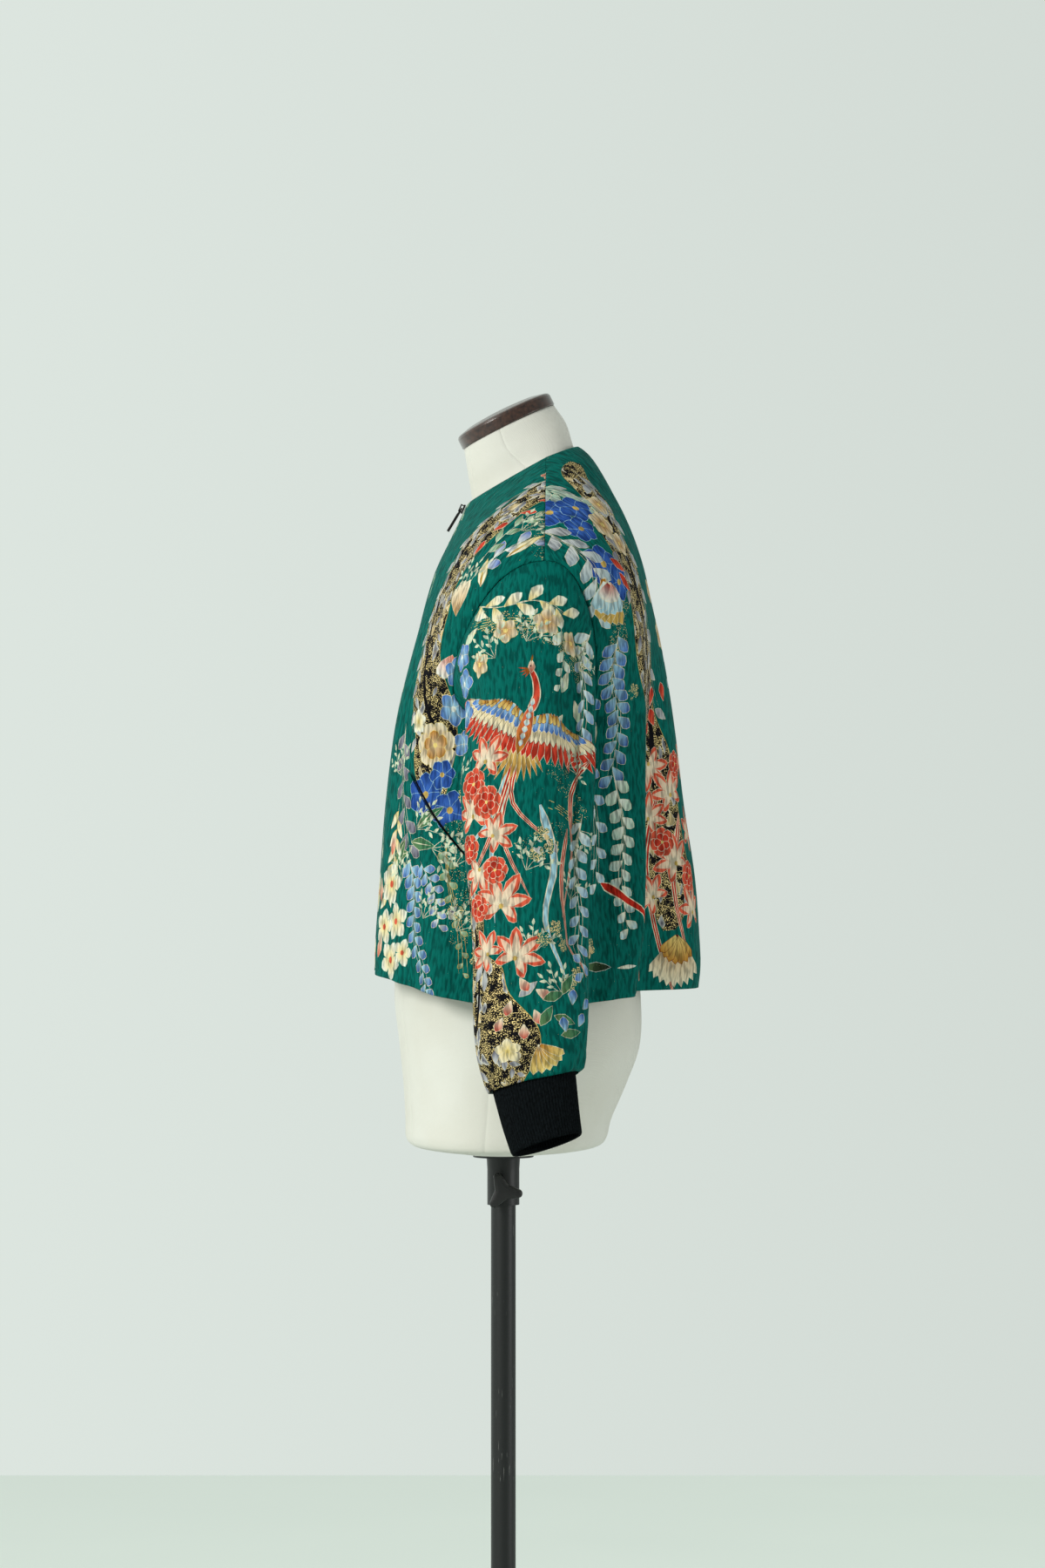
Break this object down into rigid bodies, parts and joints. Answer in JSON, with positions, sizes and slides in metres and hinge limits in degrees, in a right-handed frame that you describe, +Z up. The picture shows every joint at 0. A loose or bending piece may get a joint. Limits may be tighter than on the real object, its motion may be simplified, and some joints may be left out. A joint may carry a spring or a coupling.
{
  "type": "kimono-cloth jacket on dress form",
  "caption": "Zip-front blouson of printed kimono crepe with rib cuffs, worn by a limbless dress form on a pole stand with a round base.",
  "frame": {"origin": "on the floor, on the axis of the pole, at the centre of the base plate's underside", "axes": "+Z up along the pole; the wearer's front faces -Y and the wearer's left is +X"},
  "size_m": [0.6792, 0.3799, 1.4685],
  "materials": {
    "crepe": "matte",
    "knit": "matte",
    "tape": "matte",
    "black_metal": "satin",
    "canvas": "matte",
    "walnut": "satin",
    "steel": "satin",
    "moulding": "satin"
  },
  "bodies": {
    "stand": {"base_plate": "steel", "foot_socket": "steel"},
    "pole": {"pole": "steel"},
    "form": {"dress_form": "canvas", "neck_cap": "walnut", "clamp_collar": "steel", "front_left": "crepe", "front_right": "crepe", "back": "crepe", "sleeve_left": "crepe", "sleeve_right": "crepe", "cuff_left": "knit", "cuff_right": "knit", "pocket_welt_left": "crepe", "pocket_welt_right": "crepe", "zip": "tape", "zip_slider": "black_metal"},
    "knob": {"clamp_knob": "moulding"},
    "pull": {"zip_pull_tab": "black_metal"}
  },
  "joints": [
    {"name": "pole_turn", "type": "hinge", "parent": "stand", "child": "pole", "pos_m": [0, 0, 0.03], "axis": [0, 0, 1], "continuous": true},
    {"name": "height", "type": "slide", "parent": "pole", "child": "form", "axis": [0, 0, 1], "range_m": [-0.2, 0.2]},
    {"name": "knob_turn", "type": "hinge", "parent": "form", "child": "knob", "pos_m": [0.0238, 0, 0.6673], "axis": [1, 0, 0], "range_deg": [0, 360]},
    {"name": "pull_swing", "type": "hinge", "parent": "form", "child": "pull", "pos_m": [0, -0.04207, 1.35283], "axis": [-1, 0, 0], "range_deg": [-4, 110]}
  ]
}
